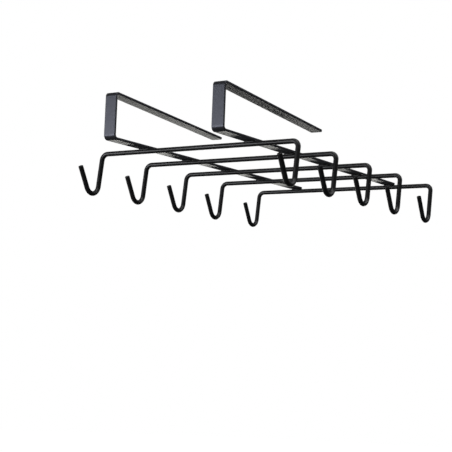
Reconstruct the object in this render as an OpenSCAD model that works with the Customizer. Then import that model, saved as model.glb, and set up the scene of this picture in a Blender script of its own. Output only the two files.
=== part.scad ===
// Under-shelf mug rack: two flat-strap clips slide over a shelf board, and five bent wires
// welded crosswise under their long arms end in open hooks for mugs and cups.
//
// Frame, in millimetres: X runs along the wires, +Y goes into the shelf, +Z is up.
// The origin is the corner of the shelf slot, midway between the clips: y = 0 on the inner
// faces of their fronts, z = 0 on the top faces of their long arms.

/* [Hook wires] */
// Number of cross wires, from front to back
wire_count = 5; // [3:1:6]
// Diameter of the round wire
wire_d = 4; // [3.4:0.2:4.6]
// Distance between the hook legs at the two ends of a wire, centre to centre
hook_span = 185; // [150:1:240]
// Distance from the inner face of the front to the first wire
first_row = 43.5; // [40:0.5:60]
// Distance between neighbouring wires, except the last two
row_pitch = 61; // [50:1:75]
// Distance between the last two wires
last_pitch = 69; // [50:1:85]
// Centreline radius of the corner where the wire turns down
corner_r = 5; // [4:0.5:8]
// Lean of each hook's leg towards the front, in degrees
leg_lean = 8.25; // [0:0.25:14]
// Depth of the hook's lowest centreline point below the wire
hook_drop = 34; // [30:1:44]
// Centreline radius of the hook's round bottom
hook_r = 7.7; // [5.5:0.1:9]
// Lean of each hook's tip towards the front, in degrees
tip_lean = 29; // [15:0.25:40]
// Depth of the end of the tip below the wire
tip_drop = 13.5; // [8:0.5:18]
// Size of the broken edge round the cut end of the wire
tip_chamfer = 0.4; // [0.2:0.1:0.8]

/* [Clips] */
// Distance between the two clips, centre to centre
clip_pitch = 100; // [70:1:140]
// Width of the flat strap
strap_w = 10.6; // [8:0.2:16]
// Thickness of the flat strap
strap_t = 2; // [1.6:0.1:3]
// Clear height of the shelf slot just behind the front
slot_h = 33.5; // [26:0.5:45]
// Length of the top arm that rests on the shelf
top_arm_len = 150; // [80:1:200]
// Fall of the top arm towards its free end, in degrees
top_arm_fall = 4; // [0:0.25:5]
// Inside radius of the upper bend
top_bend_r = 1.2; // [0.8:0.1:3]
// Inside radius of the lower bend
low_bend_r = 2; // [0.8:0.1:4]
// Length of the long arm past the centre of the last wire
arm_overhang = 3; // [3:0.5:12]
// Corner radius of the strap's cut ends, seen from above
end_corner_r = 1.5; // [0.5:0.1:4]

/* [Welds] */
// Length of each weld along the wire
weld_len = 9.4; // [6:0.2:10]
// Thickness of metal between the strap and the top of the wire
weld_gap = 0.3; // [0.2:0.1:0.6]
// Width of the weld where it meets the strap
weld_top_w = 4.6; // [4:0.1:6]
// Width of the weld where it runs out on the wire's flanks
weld_low_w = 3.2; // [2.6:0.1:3.4]
// Depth of the weld's flanks below the strap
weld_depth = 1.9; // [1.2:0.1:2.1]

/* [Hidden] */
$fn = 48;

strap_black = [0.17, 0.17, 0.19];
wire_black = [0.10, 0.10, 0.11];
weld_black = [0.07, 0.07, 0.08];

wire_r = wire_d / 2;
wire_z = -strap_t - weld_gap - wire_r;
leg_len = to_cent((hook_drop - hook_r + hook_r * sin(leg_lean)) / cos(leg_lean));
tip_len = to_cent((hook_drop - hook_r + hook_r * sin(tip_lean) - tip_drop) / cos(tip_lean));
hook_sweep = 180 - leg_lean - tip_lean;

// Straight steps that each bend of the strap is drawn in
bend_steps = 12;
arm_end = row_y(wire_count) + arm_overhang;
low_centre = [low_bend_r, low_bend_r];
top_centre = [
    top_bend_r,
    slot_h - top_bend_r * (1 + sin(top_arm_fall)) / cos(top_arm_fall)
];

// A length rounded to a hundredth of a millimetre, so that neighbouring pieces meet exactly
function to_cent(x) = round(100 * x) / 100;

// Distance of wire n from the inner face of the front, wire 1 being the foremost
function row_y(n) =
    first_row + min(n - 1, wire_count - 2) * row_pitch + (n == wire_count ? last_pitch : 0);

// Quarter turn or longer of round wire in the XY plane, starting on +X
module wire_bend(bend_r, angle) {
    rotate_extrude(angle = angle)
        translate([bend_r, 0])
            circle(r = wire_r);
}

// Straight end of a hook, along +Z, with its cut end at the top
module hook_tip() {
    cylinder(r = wire_r, h = tip_len - tip_chamfer);
    translate([0, 0, tip_len - tip_chamfer])
        cylinder(r1 = wire_r, r2 = wire_r - tip_chamfer, h = tip_chamfer);
}

// One hook at the +X end, with its leg straight down: corner, leg, round bottom and tip
module hook() {
    translate([hook_span / 2 - corner_r, 0, -corner_r])
        rotate([90, 0, 0])
            wire_bend(corner_r, 90);
    translate([hook_span / 2, 0, -leg_len])
        cylinder(r = wire_r, h = leg_len - corner_r);
    translate([hook_span / 2, -hook_r, -leg_len])
        rotate([90, 0, 90])
            rotate([0, 0, -hook_sweep]) {
                wire_bend(hook_r, hook_sweep);
                translate([hook_r, 0, 0])
                    rotate([90, 0, 0])
                        hook_tip();
            }
}

// One wire, bent from a single length: the cross run and the hooks at its two ends.
// The whole wire turns about its run, which leans the hooks towards the front.
module hook_wire(n) {
    run = hook_span - 2 * corner_r;
    color(wire_black)
        translate([0, row_y(n), wire_z])
            rotate([-leg_lean, 0, 0]) {
                translate([run / 2, 0, 0])
                    rotate([0, -90, 0])
                        cylinder(r = wire_r, h = run);
                hook();
                mirror([1, 0, 0])
                    hook();
            }
}

// Points along an arc in the YZ plane, with angles measured from +Y towards +Z
function arc(centre, r, from_angle, to_angle) = [
    for (i = [0 : bend_steps])
        let (angle = from_angle + (to_angle - from_angle) * i / bend_steps)
            [centre[0] + r * cos(angle), centre[1] + r * sin(angle)]
];

// Side outline of a clip: long arm, lower bend, front, upper bend and top arm, out and back
function clip_outline() = concat(
    [[arm_end, -strap_t]],
    arc(low_centre, low_bend_r + strap_t, 270, 180),
    arc(top_centre, top_bend_r + strap_t, 180, 90 - top_arm_fall),
    [top_arm_end(top_bend_r + strap_t), top_arm_end(top_bend_r)],
    arc(top_centre, top_bend_r, 90 - top_arm_fall, 180),
    arc(low_centre, low_bend_r, 180, 270),
    [[arm_end, 0]]
);

// Free end of the top arm, on the face that lies r outwards from the upper bend's centre
function top_arm_end(r) = top_centre + [
    r * sin(top_arm_fall) + (top_arm_len - top_bend_r) * cos(top_arm_fall),
    r * cos(top_arm_fall) - (top_arm_len - top_bend_r) * sin(top_arm_fall)
];

// What is cut off the two corners of a strap's end, for an end at y = 0 and a strap along -Y.
// The circles lie a little inside both edges, so the corners are rounded but not quite smooth.
module end_corners() {
    inset = 0.9 * end_corner_r;
    for (side = [0, 1])
        mirror([side, 0, 0])
            translate([strap_w / 2 - inset, -inset, -2 * strap_t])
                linear_extrude(4 * strap_t)
                    difference() {
                        square(2 * end_corner_r);
                        circle(r = end_corner_r);
                    }
}

// One clip, bent from a single strap: top arm, front and long arm
module clip(side) {
    color(strap_black)
        translate([side * clip_pitch / 2, 0, 0])
            difference() {
                rotate([90, 0, 90])
                    translate([0, 0, -strap_w / 2])
                        linear_extrude(strap_w)
                            polygon(clip_outline());
                translate([0, arm_end, 0])
                    end_corners();
                translate([0, top_arm_end(top_bend_r)[0], top_arm_end(top_bend_r)[1]])
                    rotate([-top_arm_fall, 0, 0])
                        end_corners();
            }
}

// Weld that joins wire n to the underside of a clip's long arm
module weld(side, n) {
    color(weld_black)
        translate([side * clip_pitch / 2, row_y(n), 0])
            difference() {
                rotate([90, 0, 90])
                    translate([0, -strap_t, -weld_len / 2])
                        linear_extrude(weld_len)
                            polygon([
                                [-weld_top_w / 2, 0],
                                [-weld_low_w / 2, -weld_depth],
                                [weld_low_w / 2, -weld_depth],
                                [weld_top_w / 2, 0]
                            ]);
                translate([-weld_len, 0, wire_z])
                    rotate([0, 90, 0])
                        cylinder(r = wire_r, h = 2 * weld_len);
            }
}

clip(-1);  // left_clip
clip(1);  // right_clip
for (n = [1 : wire_count]) {
    hook_wire(n);
    weld(-1, n);
    weld(1, n);
}
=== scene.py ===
"""Looks of the under-shelf mug rack: two strap clips, five hook wires and their welds.

Metres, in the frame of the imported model: X along the wires, +Y into the shelf, +Z up.
"""

from math import cos, pi, radians, sin, sqrt, tan

import bpy
from mathutils import Matrix, Vector, noise

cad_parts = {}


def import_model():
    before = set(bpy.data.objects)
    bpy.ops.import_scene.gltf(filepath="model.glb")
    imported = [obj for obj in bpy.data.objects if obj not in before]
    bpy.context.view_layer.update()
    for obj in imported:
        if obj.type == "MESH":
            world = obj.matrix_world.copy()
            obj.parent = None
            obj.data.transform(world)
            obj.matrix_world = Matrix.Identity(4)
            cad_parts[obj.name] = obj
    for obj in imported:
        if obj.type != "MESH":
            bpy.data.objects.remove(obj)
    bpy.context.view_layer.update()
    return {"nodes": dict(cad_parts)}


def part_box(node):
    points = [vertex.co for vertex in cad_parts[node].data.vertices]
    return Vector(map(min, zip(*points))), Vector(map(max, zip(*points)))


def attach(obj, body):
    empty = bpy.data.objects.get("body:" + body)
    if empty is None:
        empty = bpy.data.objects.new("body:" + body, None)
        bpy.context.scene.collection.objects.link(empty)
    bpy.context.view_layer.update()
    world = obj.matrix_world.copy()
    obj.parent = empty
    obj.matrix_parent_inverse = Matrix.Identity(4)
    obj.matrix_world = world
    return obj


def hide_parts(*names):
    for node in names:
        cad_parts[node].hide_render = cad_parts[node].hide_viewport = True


MM = 0.001
SIDES = ("left", "right")

# Bent shapes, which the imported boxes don't tell
WIRE_RADIUS = 2.0 * MM
CORNER_RADIUS = 5.0 * MM
HOOK_RADIUS = 7.7 * MM
LEG_LEAN = radians(8.25)
TIP_LEAN = radians(29.0)
TIP_DROP = 13.5 * MM
STRAP_THICKNESS = 2.0 * MM
LOW_BEND_RADIUS = 2.0 * MM
TOP_BEND_RADIUS = 1.2 * MM
TOP_ARM_FALL = radians(4.0)
TOP_ARM_LENGTH = 150.0 * MM
END_CORNER_RADIUS = 1.5 * MM
WELD_GAP = 0.3 * MM

# Small roundings that only the looks have
STRAP_EDGE_ROUND = 0.35 * MM
WIRE_CUT_ROUND = 0.45 * MM

# Strip beside a bend or a rounding that keeps the smooth shading off the flat next to it
FLAT_MARGIN = 0.25 * MM

# Where the rack is seen from: azimuth from the front towards +X, upward tilt and roll
VIEW_AZIMUTH = radians(32.93)
VIEW_RISE = radians(5.53)
VIEW_ROLL = radians(2.16)
VIEW_DISTANCE = 0.88
VIEW_FAR_END = 50.0
LOOK_AT = Vector((0.0151, 0.0686, -0.0635))
LENS_MM = 88.8
SENSOR_MM = 36.0

# Studio, in metres
FLOOR_Z = -0.95
FLOOR_REACH = 8.0
FLOOR_RINGS = 10
FLOOR_SIDES = 64
FLOOR_GLOW = 0.97
AMBIENT_STRENGTH = 0.06
RACK_MIDDLE = Vector((0.0, 0.12, 0.0))


# ---------------------------------------------------------------- camera


def make_camera():
    """A long lens in front of the rack, to its right and a little below it."""
    level = Vector((-sin(VIEW_AZIMUTH), cos(VIEW_AZIMUTH), tan(VIEW_RISE)))
    forward = level.normalized()
    data = bpy.data.cameras.new("camera")
    data.sensor_width = SENSOR_MM
    data.lens = LENS_MM
    data.clip_end = VIEW_FAR_END
    camera = bpy.data.objects.new("camera", data)
    bpy.context.scene.collection.objects.link(camera)
    place = Matrix.Translation(LOOK_AT - forward * VIEW_DISTANCE)
    turn = forward.to_track_quat("-Z", "Y").to_matrix().to_4x4()
    roll = Matrix.Rotation(VIEW_ROLL, 4, "Z")
    camera.matrix_world = place @ turn @ roll
    bpy.context.scene.camera = camera


# ---------------------------------------------------------------- mesh helpers


def add_piece(name, vertices, faces, material, node):
    """A smooth-shaded mesh that rides with the rack and stands for one CAD node."""
    mesh = bpy.data.meshes.new(name)
    mesh.from_pydata([tuple(v) for v in vertices], [], faces)
    mesh.shade_smooth()
    mesh.materials.append(material)
    piece = bpy.data.objects.new(name, mesh)
    bpy.context.scene.collection.objects.link(piece)
    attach(piece, "root")
    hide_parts(node)
    return piece


def arc_points(centre, radius, start, sweep, steps):
    """Points on an arc in a plane, with angles from the first axis towards the second."""
    angles = [start + sweep * i / steps for i in range(steps + 1)]
    return [(centre[0] + radius * cos(a), centre[1] + radius * sin(a)) for a in angles]


def tube_faces(rings, per_ring):
    """Quads between neighbouring closed rings, and a flat cap on each end."""
    faces = []
    for i in range(rings - 1):
        for j in range(per_ring):
            a = i * per_ring + j
            b = i * per_ring + (j + 1) % per_ring
            faces.append((a, b, b + per_ring, a + per_ring))
    faces.append(tuple(reversed(range(per_ring))))
    last = (rings - 1) * per_ring
    faces.append(tuple(range(last, last + per_ring)))
    return faces


# ---------------------------------------------------------------- hook wires

CORNER_STEPS = 14
BOTTOM_STEPS = 26
STRAIGHT_STEPS = 6
RUN_STEPS = 24
WIRE_SIDES = 28
CUT_STEPS = 4
CUT_CORE = 0.8  # how far out the innermost ring of a cut end lies on its flat


def hook_path(leg_x, drop):
    """Centreline of the +X hook, for a run along X through the origin.

    It is laid out with the leg straight down and then turned about the run."""
    leg = (drop - HOOK_RADIUS + HOOK_RADIUS * sin(LEG_LEAN)) / cos(LEG_LEAN)
    tip = (drop - HOOK_RADIUS + HOOK_RADIUS * sin(TIP_LEAN) - TIP_DROP) / cos(TIP_LEAN)
    sweep = pi - LEG_LEAN - TIP_LEAN
    centre = (leg_x - CORNER_RADIUS, -CORNER_RADIUS)
    corner = arc_points(centre, CORNER_RADIUS, pi / 2, -pi / 2, CORNER_STEPS)
    path = [Vector((x, 0.0, z)) for x, z in corner]
    straight_leg = leg - CORNER_RADIUS
    for i in range(1, STRAIGHT_STEPS):
        path.append(Vector((leg_x, 0.0, -CORNER_RADIUS - straight_leg * i / STRAIGHT_STEPS)))
    bottom = arc_points((-HOOK_RADIUS, -leg), HOOK_RADIUS, 0.0, -sweep, BOTTOM_STEPS)
    path += [Vector((leg_x, y, z)) for y, z in bottom]
    tip_start = path[-1]
    along_tip = Vector((0.0, -sin(LEG_LEAN + TIP_LEAN), cos(LEG_LEAN + TIP_LEAN))) * tip
    path += [tip_start + along_tip * (i / STRAIGHT_STEPS) for i in range(1, STRAIGHT_STEPS + 1)]
    lean = Matrix.Rotation(-LEG_LEAN, 3, "X")
    return [lean @ point for point in path]


def cut_end(end, inward):
    """Rings of a sawn and slightly rounded wire end, from the flat cut to the full radius."""
    rings = [(end, inward, CUT_CORE * (WIRE_RADIUS - WIRE_CUT_ROUND))]
    for i in range(CUT_STEPS + 1):
        angle = pi / 2 * i / CUT_STEPS
        radius = WIRE_RADIUS - WIRE_CUT_ROUND * (1 - sin(angle))
        rings.append((end + inward * (WIRE_CUT_ROUND * (1 - cos(angle))), inward, radius))
    return rings


def wire_rings(path):
    """Centre, direction and radius of every ring along a wire, from cut to cut."""
    first = (path[1] - path[0]).normalized()
    last = (path[-1] - path[-2]).normalized()
    rings = cut_end(path[0], first)
    for before, point, after in zip(path, path[1:], path[2:]):
        rings.append((point, (after - before).normalized(), WIRE_RADIUS))
    far_end = [(point, last, radius) for point, _, radius in cut_end(path[-1], -last)]
    return rings + far_end[::-1]


def sweep_wire(path):
    """Closed round wire along a path."""
    rings = wire_rings(path)
    across = rings[0][1].orthogonal().normalized()
    heading = rings[0][1]
    vertices = []
    for point, direction, radius in rings:
        across = heading.rotation_difference(direction) @ across
        across = (across - direction * across.dot(direction)).normalized()
        heading = direction
        other = direction.cross(across)
        for j in range(WIRE_SIDES):
            angle = 2 * pi * j / WIRE_SIDES
            vertices.append(point + (across * cos(angle) + other * sin(angle)) * radius)
    return vertices, tube_faces(len(rings), WIRE_SIDES)


def make_hook_wire(number, material):
    """One length of wire: a straight run along X with a hook at both ends."""
    node = f"hook_wire_{number}"
    low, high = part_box(node)
    run = Vector((0.0, high[1] - WIRE_RADIUS, high[2] - WIRE_RADIUS))
    leg_x = high[0] - WIRE_RADIUS
    right = hook_path(leg_x, run.z - low[2] - WIRE_RADIUS)
    left = [Vector((-p.x, p.y, p.z)) for p in reversed(right)]
    half = leg_x - CORNER_RADIUS
    middle = [Vector((half * (2 * i / RUN_STEPS - 1), 0.0, 0.0)) for i in range(1, RUN_STEPS)]
    path = [run + point for point in left + middle + right]
    vertices, faces = sweep_wire(path)
    return add_piece(f"wire_{number}", vertices, faces, material, node)


# ---------------------------------------------------------------- strap clips

BEND_STEPS = 16
LONG_ARM_STEPS = 40
TOP_ARM_STEPS = 22
FRONT_STEPS = 6
END_CORNER_STEPS = 6
EDGE_STEPS = 4


def straight(start, end, normal, steps):
    """Path points between two ends, which it leaves out, with one kept close to each end."""
    margin = 2 * FLAT_MARGIN / (end - start).length
    shares = [margin] + [i / steps for i in range(1, steps)] + [1 - margin]
    return [(start.lerp(end, share), Vector(normal)) for share in shares]


def bend(centre, radius, start, sweep):
    """Path points round a bend of the strap, in the YZ plane."""
    points = []
    for i in range(BEND_STEPS + 1):
        angle = start + sweep * i / BEND_STEPS
        out = Vector((0.0, cos(angle), sin(angle)))
        points.append((Vector((0.0, *centre)) + out * radius, out))
    return points


def clip_path(arm_end, top):
    """Mid-plane of a clip whose long arm ends at arm_end in Y and whose top bend reaches top in Z.

    It runs from the long arm's end to the top arm's, as (length, point, outward normal)."""
    half = STRAP_THICKNESS / 2
    low_centre = (LOW_BEND_RADIUS, LOW_BEND_RADIUS)
    top_centre = (TOP_BEND_RADIUS, top - STRAP_THICKNESS - TOP_BEND_RADIUS)
    low_bend = bend(low_centre, LOW_BEND_RADIUS + half, -pi / 2, -pi / 2)
    top_bend = bend(top_centre, TOP_BEND_RADIUS + half, pi, -pi / 2 - TOP_ARM_FALL)
    down, forward = (0.0, 0.0, -1.0), (0.0, -1.0, 0.0)
    up = Vector((0.0, sin(TOP_ARM_FALL), cos(TOP_ARM_FALL)))
    along = Vector((0.0, up.z, -up.y))
    arm_start = Vector((0.0, arm_end, -half))
    top_end = top_bend[-1][0] + along * (TOP_ARM_LENGTH - TOP_BEND_RADIUS)
    points = [(arm_start, Vector(down))]
    points += straight(arm_start, low_bend[0][0], down, LONG_ARM_STEPS) + low_bend
    points += straight(low_bend[-1][0], top_bend[0][0], forward, FRONT_STEPS) + top_bend
    points += straight(top_bend[-1][0], top_end, up, TOP_ARM_STEPS) + [(top_end, up)]
    path = []
    length = 0.0
    for i, (point, normal) in enumerate(points):
        if i:
            length += (point - points[i - 1][0]).length
        path.append((length, point, normal))
    return path


def on_path(path, length):
    """Point and outward normal at a length along a clip's mid-plane."""
    index = next((i for i in range(1, len(path) - 1) if path[i][0] >= length), len(path) - 1)
    before, after = path[index - 1], path[index]
    share = (length - before[0]) / (after[0] - before[0])
    return before[1].lerp(after[1], share), before[2].lerp(after[2], share).normalized()


def strap_outline(path, half_width):
    """Half of the flat strap's outline, as (length, across, outward direction)."""
    total = path[-1][0]
    corner = END_CORNER_RADIUS
    side = half_width - corner
    turns = [pi / 2 * i / END_CORNER_STEPS for i in range(END_CORNER_STEPS + 1)]
    outline = []
    for turn in turns:
        out = (-cos(turn), sin(turn))
        outline.append((corner + corner * out[0], side + corner * out[1], out))
    for length, _, _ in path:
        if corner + FLAT_MARGIN < length < total - corner - FLAT_MARGIN:
            outline.append((length, half_width, (0.0, 1.0)))
    for turn in turns:
        out = (sin(turn), cos(turn))
        outline.append((total - corner + corner * out[0], side + corner * out[1], out))
    return outline


def edge_profile():
    """The strap's edge from outer face to inner face, as (outwards, height)."""
    half = STRAP_THICKNESS / 2
    edge = STRAP_EDGE_ROUND
    turns = [pi / 2 * (1 - i / EDGE_STEPS) for i in range(EDGE_STEPS + 1)]
    upper = [(edge * (cos(a) - 1), half - edge * (1 - sin(a))) for a in turns]
    upper.insert(0, (-edge - FLAT_MARGIN, half))
    return upper + [(out, -height) for out, height in reversed(upper)]


def clip_faces(stations, per_station):
    """Faces of a strap: its two long edges, its two ends and the broad faces between."""

    def at(half, station, k):
        return (half * stations + station) * per_station + k

    last = per_station - 1
    end = stations - 1
    faces = []
    for i in range(end):
        for k in range(last):
            faces.append((at(0, i, k + 1), at(0, i + 1, k + 1), at(0, i + 1, k), at(0, i, k)))
            faces.append((at(1, i, k), at(1, i + 1, k), at(1, i + 1, k + 1), at(1, i, k + 1)))
        faces.append((at(0, i + 1, 0), at(1, i + 1, 0), at(1, i, 0), at(0, i, 0)))
        faces.append((at(0, i, last), at(1, i, last), at(1, i + 1, last), at(0, i + 1, last)))
    for k in range(last):
        faces.append((at(0, 0, k), at(1, 0, k), at(1, 0, k + 1), at(0, 0, k + 1)))
        faces.append((at(0, end, k + 1), at(1, end, k + 1), at(1, end, k), at(0, end, k)))
    return faces


def make_clip(side, material):
    """Strap bent into a long arm, an upright front and a top arm, with its edges marked."""
    node = f"{side}_clip"
    low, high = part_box(node)
    middle_x = (low[0] + high[0]) / 2
    path = clip_path(high[1], high[2])
    outline = strap_outline(path, (high[0] - low[0]) / 2)
    profile = edge_profile()
    vertices = []
    edge = []
    for across in (1, -1):
        for length, x, out in outline:
            for outwards, height in profile:
                place, normal = on_path(path, length + outwards * out[0])
                x_here = middle_x + across * (x + outwards * out[1])
                vertices.append(place + normal * height + Vector((x_here, 0.0, 0.0)))
                edge.append(1.0 if outwards > -STRAP_EDGE_ROUND else 0.0)
    faces = clip_faces(len(outline), len(profile))
    piece = add_piece(f"clip_{side}", vertices, faces, material, node)
    layer = piece.data.attributes.new("edge", "FLOAT", "POINT")
    layer.data.foreach_set("value", edge)
    return piece


# ---------------------------------------------------------------- welds

WELD_STEPS = 52
FLANK_STEPS = 8

# A flank's foot, on the wire: its angle from the top, at its least and what the middle adds
FOOT_ANGLE = radians(34)
FOOT_SPREAD = radians(20)
FOOT_DEPTH = 0.98  # distance from the wire's middle, as a share of its radius

# Where the curve of a flank's hollow is drawn to: how far out, as a share of the wire's surface
# at the foot, and how far down, as a share of the foot's height
HOLLOW_OUT = 0.86
HOLLOW_DOWN = 0.22

# A weld's width along its length, as shares of its half width
END_WIDTH = 0.35
MEAN_WIDTH = 0.92
UNEVENNESS = 0.10
RIPPLE = 0.04
FLANK_UNEVENNESS = 0.25

# How fast width and ripples change along a weld, and how far apart the welds' noise lies
UNEVEN_RATE = 4.3
RIPPLE_RATE = 22.0
NUMBER_SHIFT = 7.3
SIDE_SHIFT = 11.9
FLANK_SHIFT = 5.0


def weld_flank(reach, foot_angle, wire_z, wobble):
    """Hollow flank of a weld from the strap down to where it runs out on the wire."""
    foot_y = WIRE_RADIUS * sin(foot_angle) * FOOT_DEPTH
    foot_z = wire_z + WIRE_RADIUS * cos(foot_angle) * FOOT_DEPTH
    knee_y = WIRE_RADIUS * sin(foot_angle) * HOLLOW_OUT
    knee_z = foot_z * HOLLOW_DOWN
    points = []
    for k in range(FLANK_STEPS + 1):
        t = k / FLANK_STEPS
        y = (1 - t) ** 2 * reach + 2 * t * (1 - t) * knee_y + t**2 * foot_y
        z = 2 * t * (1 - t) * knee_z + t**2 * foot_z
        points.append((y * (1 + wobble * t * (1 - t)), z))
    return points


def make_weld(side, number, material):
    """Weld bead: a saddle between strap and wire, with hollow flanks and run-out ends."""
    node = f"{side}_weld_{number}"
    low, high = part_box(node)
    centre = Vector(((low[0] + high[0]) / 2, (low[1] + high[1]) / 2, high[2]))
    half_length = (high[0] - low[0]) / 2
    half_width = (high[1] - low[1]) / 2
    wire_z = -WELD_GAP - WIRE_RADIUS
    seed = Vector((number * NUMBER_SHIFT, SIDES.index(side) * SIDE_SHIFT, 0.0))
    vertices = []
    for i in range(WELD_STEPS + 1):
        u = 2 * i / WELD_STEPS - 1
        fade = END_WIDTH + (1 - END_WIDTH) * sqrt(1 - u**4)
        foot_angle = FOOT_ANGLE + FOOT_SPREAD * fade
        ripple = RIPPLE * cos(u * RIPPLE_RATE + number)
        flanks = []
        for flank in (1, -1):
            rough = noise.noise(seed + Vector((u * UNEVEN_RATE, flank * FLANK_SHIFT, 0.0)))
            reach = half_width * min(1.0, MEAN_WIDTH + UNEVENNESS * rough + ripple) * fade
            points = weld_flank(reach, foot_angle, wire_z, FLANK_UNEVENNESS * rough)
            flanks.append([Vector((half_length * u, flank * y, z)) for y, z in points])
        vertices += [centre + point for point in flanks[1] + flanks[0][::-1]]
    faces = tube_faces(WELD_STEPS + 1, 2 * (FLANK_STEPS + 1))
    return add_piece(f"weld_{side}_{number}", vertices, faces, material, node)


# ---------------------------------------------------------------- materials

# Sizes of the coat's detail, from slow drift to fine grain
DRIFT_SIZE = 24 * MM
# Size of the lighter patches along the strap's edges: thin worn coat and painted edge highlight
WEAR_AND_SHEEN_SIZE = 6 * MM
PEEL_SIZE = 1.0 * MM
GRAIN_SIZE = 0.22 * MM

# Shades of a coat, as shares of its colour
DARKER = 0.80
LIGHTER = 1.22
SPECK = 1.7

# Stretches of the noises over which a change runs, and how strong it gets
DRIFT_RANGE = (0.35, 0.65)
SPECK_RANGE = (0.62, 0.75)
SPECK_STRENGTH = 0.6
# Lighter patches along the strap's edges, partly worn coat and partly painted edge highlight
WEAR_AND_SHEEN_RANGE = (0.42, 0.62)
WEAR_AND_SHEEN_STRENGTH = (0.1, 0.5)
GLOSS_RANGE = (0.3, 0.7)
GLOSS_CHANGE = 0.04
GRAIN_DEPTH = 0.06  # as a share of the orange peel's depth


class Nodes:
    """Short calls for the few node kinds that the coats use."""

    def __init__(self, material):
        material.use_nodes = True
        self.tree = material.node_tree
        self.shader = self.tree.nodes["Principled BSDF"]
        self.place = self.tree.nodes.new("ShaderNodeTexCoord").outputs["Object"]

    def link(self, output, socket):
        self.tree.links.new(output, socket)

    def noise(self, size, detail, roughness=0.5):
        """Noise whose lumps are about size across."""
        node = self.tree.nodes.new("ShaderNodeTexNoise")
        node.inputs["Scale"].default_value = 1 / size
        node.inputs["Detail"].default_value = detail
        node.inputs["Roughness"].default_value = roughness
        self.link(self.place, node.inputs["Vector"])
        return node.outputs["Fac"]

    def remap(self, value, source, target):
        """Value carried from one range to another, and held at the target's ends."""
        node = self.tree.nodes.new("ShaderNodeMapRange")
        names = ("From Min", "From Max", "To Min", "To Max")
        for name, number in zip(names, source + target):
            node.inputs[name].default_value = number
        self.link(value, node.inputs["Value"])
        return node.outputs["Result"]

    def attribute(self, name):
        """Value that the mesh stores at its vertices."""
        node = self.tree.nodes.new("ShaderNodeAttribute")
        node.attribute_name = name
        return node.outputs["Fac"]

    def multiply(self, first, second):
        """Product of two values."""
        node = self.tree.nodes.new("ShaderNodeMath")
        node.operation = "MULTIPLY"
        self.link(first, node.inputs[0])
        self.link(second, node.inputs[1])
        return node.outputs[0]

    def mix(self, factor, first, second):
        """Mix of two colours, each a tuple or another node's output."""
        node = self.tree.nodes.new("ShaderNodeMix")
        node.data_type = "RGBA"
        self.link(factor, node.inputs["Factor"])
        for socket, colour in ((node.inputs[6], first), (node.inputs[7], second)):
            if isinstance(colour, tuple):
                socket.default_value = (*colour, 1.0)
            else:
                self.link(colour, socket)
        return node.outputs[2]

    def bump(self, height, depth, normal=None):
        """Bump of a given depth in metres, on top of another bump if one is given."""
        node = self.tree.nodes.new("ShaderNodeBump")
        node.inputs["Strength"].default_value = 1.0
        node.inputs["Distance"].default_value = depth
        self.link(height, node.inputs["Height"])
        if normal:
            self.link(normal, node.inputs["Normal"])
        return node.outputs["Normal"]


def powder_coat(name, colour, roughness, peel_depth, specular, tint, edges=False):
    """Satin black powder coat: orange peel, fine grain, and slow changes of shade and gloss.

    With edges, the coat is also lighter in patches along the strap's edges: partly coat worn thin,
    partly a painted edge highlight."""
    material = bpy.data.materials.new(name)
    nodes = Nodes(material)
    nodes.shader.inputs["Specular IOR Level"].default_value = specular
    nodes.shader.inputs["Specular Tint"].default_value = (*tint, 1.0)
    darker = tuple(DARKER * c for c in colour)
    lighter = tuple(LIGHTER * c for c in colour)
    speck = tuple(SPECK * c for c in colour)

    drift = nodes.noise(DRIFT_SIZE, detail=3.0)
    peel = nodes.noise(PEEL_SIZE, detail=1.0)
    grain = nodes.noise(GRAIN_SIZE, detail=3.0, roughness=0.6)

    tone = nodes.mix(nodes.remap(drift, DRIFT_RANGE, (0.0, 1.0)), darker, lighter)
    tone = nodes.mix(nodes.remap(grain, SPECK_RANGE, (0.0, SPECK_STRENGTH)), tone, speck)
    if edges:
        # Lighter patches along the edges: coat worn thin, and a painted highlight on the edges
        wear_and_sheen = nodes.noise(WEAR_AND_SHEEN_SIZE, detail=4.0)
        worn_and_sheen_patches = nodes.remap(wear_and_sheen, WEAR_AND_SHEEN_RANGE, WEAR_AND_SHEEN_STRENGTH)
        tone = nodes.mix(nodes.multiply(nodes.attribute("edge"), worn_and_sheen_patches), tone, speck)
    nodes.link(tone, nodes.shader.inputs["Base Color"])
    gloss = (roughness - GLOSS_CHANGE, roughness + GLOSS_CHANGE)
    nodes.link(nodes.remap(drift, GLOSS_RANGE, gloss), nodes.shader.inputs["Roughness"])
    surface = nodes.bump(peel, peel_depth, nodes.bump(grain, GRAIN_DEPTH * peel_depth))
    nodes.link(surface, nodes.shader.inputs["Normal"])
    return material


def make_coats():
    """The three coats, for strap, wire and welds; the strap's is the wires' coat painted lighter
    and bluer, as painted reflection of the bluish front light.
    """
    reflected_light_blue = (0.80, 0.83, 1.0)
    neutral = (1.0, 1.0, 1.0)
    # Same powder coat as the wires, given a lighter, bluer colour and a blue reflection tint:
    # painted light for the bluish soft light the strap's fronts reflect
    strap = powder_coat(
        "strap_coat",
        colour=(0.022, 0.0225, 0.025),
        roughness=0.36,
        peel_depth=0.014 * MM,
        specular=0.5,
        tint=reflected_light_blue,
        edges=True,
    )
    wire = powder_coat(
        "wire_coat",
        colour=(0.010, 0.010, 0.0105),
        roughness=0.36,
        peel_depth=0.012 * MM,
        specular=0.36,
        tint=neutral,
    )
    weld = powder_coat(
        "weld_coat",
        colour=(0.009, 0.009, 0.0095),
        roughness=0.42,
        peel_depth=0.018 * MM,
        specular=0.36,
        tint=neutral,
    )
    return strap, wire, weld


# ---------------------------------------------------------------- studio


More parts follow.
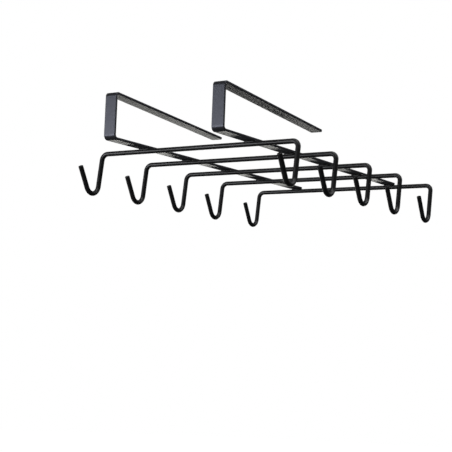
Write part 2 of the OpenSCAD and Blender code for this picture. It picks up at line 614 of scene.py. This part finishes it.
def floor_mesh():
    """Flat disc of rings."""
    vertices = [(0.0, 0.0, FLOOR_Z)]
    for i in range(1, FLOOR_RINGS + 1):
        reach = FLOOR_REACH * i / FLOOR_RINGS
        for j in range(FLOOR_SIDES):
            angle = 2 * pi * j / FLOOR_SIDES
            vertices.append((reach * cos(angle), reach * sin(angle), FLOOR_Z))
    faces = [(0, 1 + j, 1 + (j + 1) % FLOOR_SIDES) for j in range(FLOOR_SIDES)]
    for i in range(FLOOR_RINGS - 1):
        for j in range(FLOOR_SIDES):
            a = 1 + i * FLOOR_SIDES + j
            b = 1 + i * FLOOR_SIDES + (j + 1) % FLOOR_SIDES
            faces.append((a, a + FLOOR_SIDES, b + FLOOR_SIDES, b))
    mesh = bpy.data.meshes.new("floor")
    mesh.from_pydata(vertices, [], faces)
    return mesh


def make_floor():
    """Wide pale floor, bright enough to run into the white surroundings without a seam."""
    mesh = floor_mesh()
    floor = bpy.data.objects.new("floor", mesh)
    bpy.context.scene.collection.objects.link(floor)
    material = bpy.data.materials.new("floor")
    material.use_nodes = True
    shader = material.node_tree.nodes["Principled BSDF"]
    shader.inputs["Base Color"].default_value = (0.85, 0.85, 0.85, 1.0)
    shader.inputs["Roughness"].default_value = 0.9
    shader.inputs["Emission Color"].default_value = (1.0, 1.0, 1.0, 1.0)
    shader.inputs["Emission Strength"].default_value = FLOOR_GLOW
    mesh.materials.append(material)
    floor.visible_glossy = False
    floor.visible_diffuse = False


def make_world():
    """White surroundings to look at, which light the rack only dimly."""
    world = bpy.data.worlds.new("studio")
    bpy.context.scene.world = world
    world.use_nodes = True
    tree = world.node_tree
    ambient = tree.nodes["Background"]
    ambient.inputs["Color"].default_value = (0.95, 0.97, 1.0, 1.0)
    ambient.inputs["Strength"].default_value = AMBIENT_STRENGTH
    seen = tree.nodes.new("ShaderNodeBackground")
    seen.inputs["Color"].default_value = (1.0, 1.0, 1.0, 1.0)
    ray = tree.nodes.new("ShaderNodeLightPath")
    mixer = tree.nodes.new("ShaderNodeMixShader")
    tree.links.new(ray.outputs["Is Camera Ray"], mixer.inputs["Fac"])
    tree.links.new(ambient.outputs[0], mixer.inputs[1])
    tree.links.new(seen.outputs[0], mixer.inputs[2])
    tree.links.new(mixer.outputs[0], tree.nodes["World Output"].inputs["Surface"])


def add_softbox(name, azimuth, elevation, distance, size, radiance, colour):
    """Soft light at an azimuth from +Y towards +X and an elevation, aimed at the rack."""
    azimuth, elevation = radians(azimuth), radians(elevation)
    flat = cos(elevation) * distance
    offset = Vector((sin(azimuth) * flat, cos(azimuth) * flat, sin(elevation) * distance))
    data = bpy.data.lights.new(name, "AREA")
    data.shape = "RECTANGLE"
    data.size, data.size_y = size
    data.energy = radiance * pi * size[0] * size[1]
    data.color = colour
    light = bpy.data.objects.new(name, data)
    bpy.context.scene.collection.objects.link(light)
    light.location = RACK_MIDDLE + offset
    light.rotation_euler = (-offset).to_track_quat("-Z", "Y").to_euler()
    light.visible_camera = False


def make_lights():
    """A low box in front, a strip behind that the undersides mirror, and two boxes from above."""
    add_softbox(
        "front_softbox",
        azimuth=209.5,
        elevation=-1.5,
        distance=1.1,
        size=(0.75, 0.44),
        radiance=7.5,
        colour=(0.95, 0.96, 1.0),
    )
    add_softbox(
        "back_panel",
        azimuth=-36,
        elevation=-6.5,
        distance=1.7,
        size=(1.5, 0.30),
        radiance=4.2,
        colour=(1.0, 0.99, 0.93),
    )
    add_softbox(
        "overhead_softbox",
        azimuth=150,
        elevation=72,
        distance=1.4,
        size=(1.2, 1.2),
        radiance=2.4,
        colour=(1.0, 1.0, 1.0),
    )
    add_softbox(
        "rear_softbox",
        azimuth=52,
        elevation=38,
        distance=1.4,
        size=(1.1, 0.8),
        radiance=2.0,
        colour=(1.0, 1.0, 1.0),
    )


# ---------------------------------------------------------------- scene


def main():
    """Camera, pieces and studio."""
    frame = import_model()
    wire_count = sum(name.startswith("hook_wire_") for name in frame["nodes"])
    make_camera()
    strap_coat, wire_coat, weld_coat = make_coats()
    for side in SIDES:
        make_clip(side, strap_coat)
        for number in range(1, wire_count + 1):
            make_weld(side, number, weld_coat)
    for number in range(1, wire_count + 1):
        make_hook_wire(number, wire_coat)
    make_floor()
    make_world()
    make_lights()
    bpy.context.scene.view_settings.view_transform = "Standard"


main()
